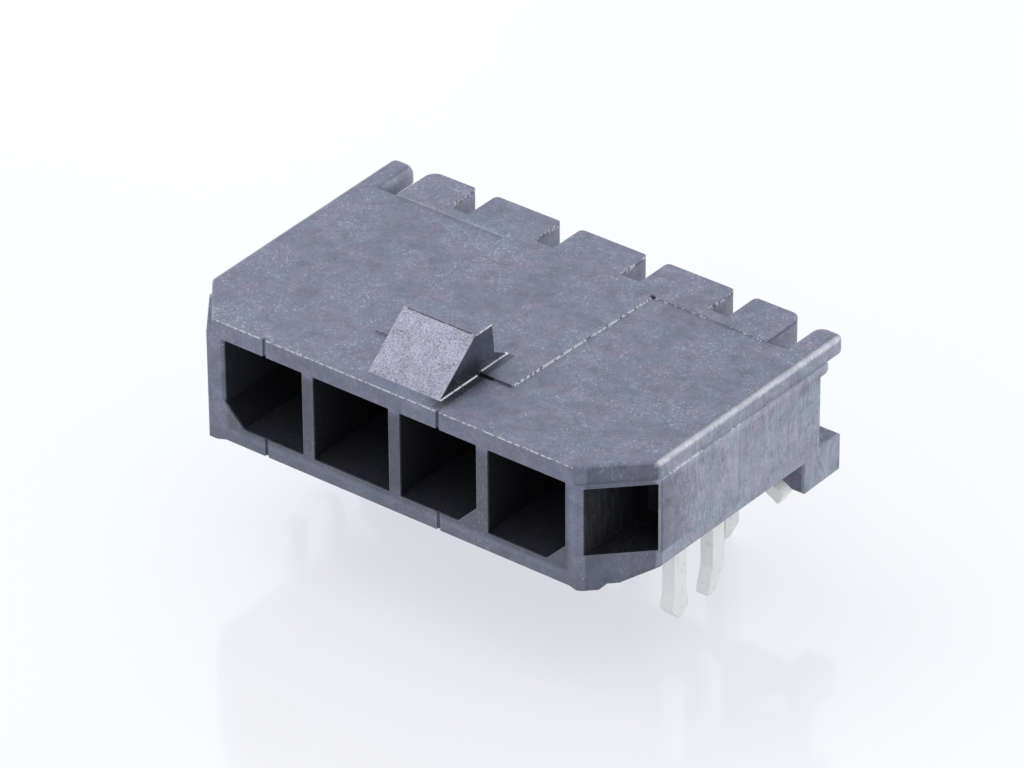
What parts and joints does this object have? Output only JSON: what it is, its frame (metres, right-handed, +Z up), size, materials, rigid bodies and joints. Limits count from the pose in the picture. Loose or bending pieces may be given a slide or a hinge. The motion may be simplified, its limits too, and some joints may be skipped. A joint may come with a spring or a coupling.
{
  "type": "right-angle board header connector",
  "caption": "Right-angle single-row board header: a moulded housing with open mating cavities and a latch ramp, bent square terminals, and a stamped board clip at each end.",
  "frame": {"origin": "middle of the row of solder tails, on the surface of the circuit board", "axes": "+X along the row of circuits, +Y from the mating face to the back, +Z up from the board; the tails point along -Z"},
  "size_m": [0.0158, 0.0099, 0.0088],
  "materials": {
    "housing": "black glass-filled moulding, satin, with fine fibre speckle and flow marks",
    "terminal": "matte tin plate on copper alloy",
    "clip": "matte tin plate on stamped copper alloy"
  },
  "bodies": {
    "root": {"housing": "housing", "terminal_1": "terminal", "terminal_2": "terminal", "terminal_3": "terminal", "terminal_4": "terminal", "board_clip_left": "clip", "board_clip_right": "clip"}
  },
  "joints": []
}
